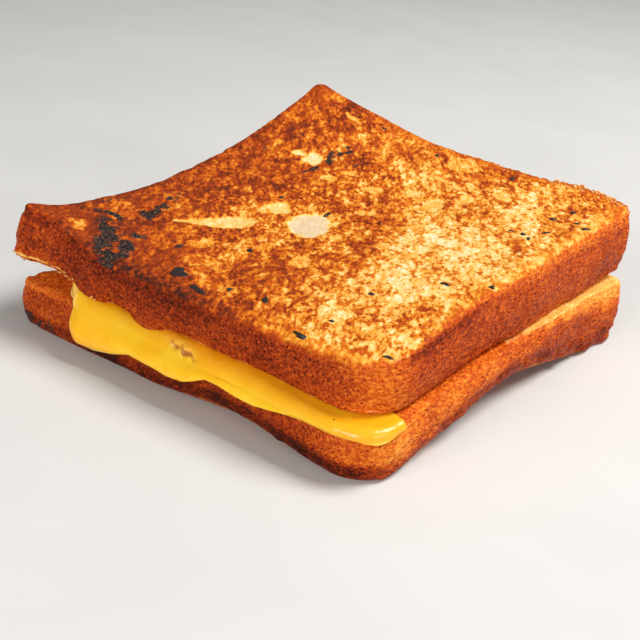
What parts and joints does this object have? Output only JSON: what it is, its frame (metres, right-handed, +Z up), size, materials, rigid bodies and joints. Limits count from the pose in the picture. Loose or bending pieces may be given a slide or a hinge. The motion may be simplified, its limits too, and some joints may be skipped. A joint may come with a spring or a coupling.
{
  "type": "grilled cheese sandwich",
  "caption": "Toasted sandwich of square bread slices with melted cheese between them that has run out and hangs down the front side.",
  "frame": {"origin": "middle of the underside of the bounding box, on the surface it rests on", "axes": "+Z up through the slices; +X along the front side from left to right; the front side, where the cheese has run out, faces -Y"},
  "size_m": [0.117, 0.1262, 0.047],
  "materials": {
    "bread_bottom": "toasted bread with a brown crust",
    "cheese": "smooth melted cheese",
    "bread_top": "buttered and toasted bread with charred spots"
  },
  "bodies": {
    "root": {"bread_bottom": "bread_bottom", "cheese": "cheese", "bread_top": "bread_top"}
  },
  "joints": []
}
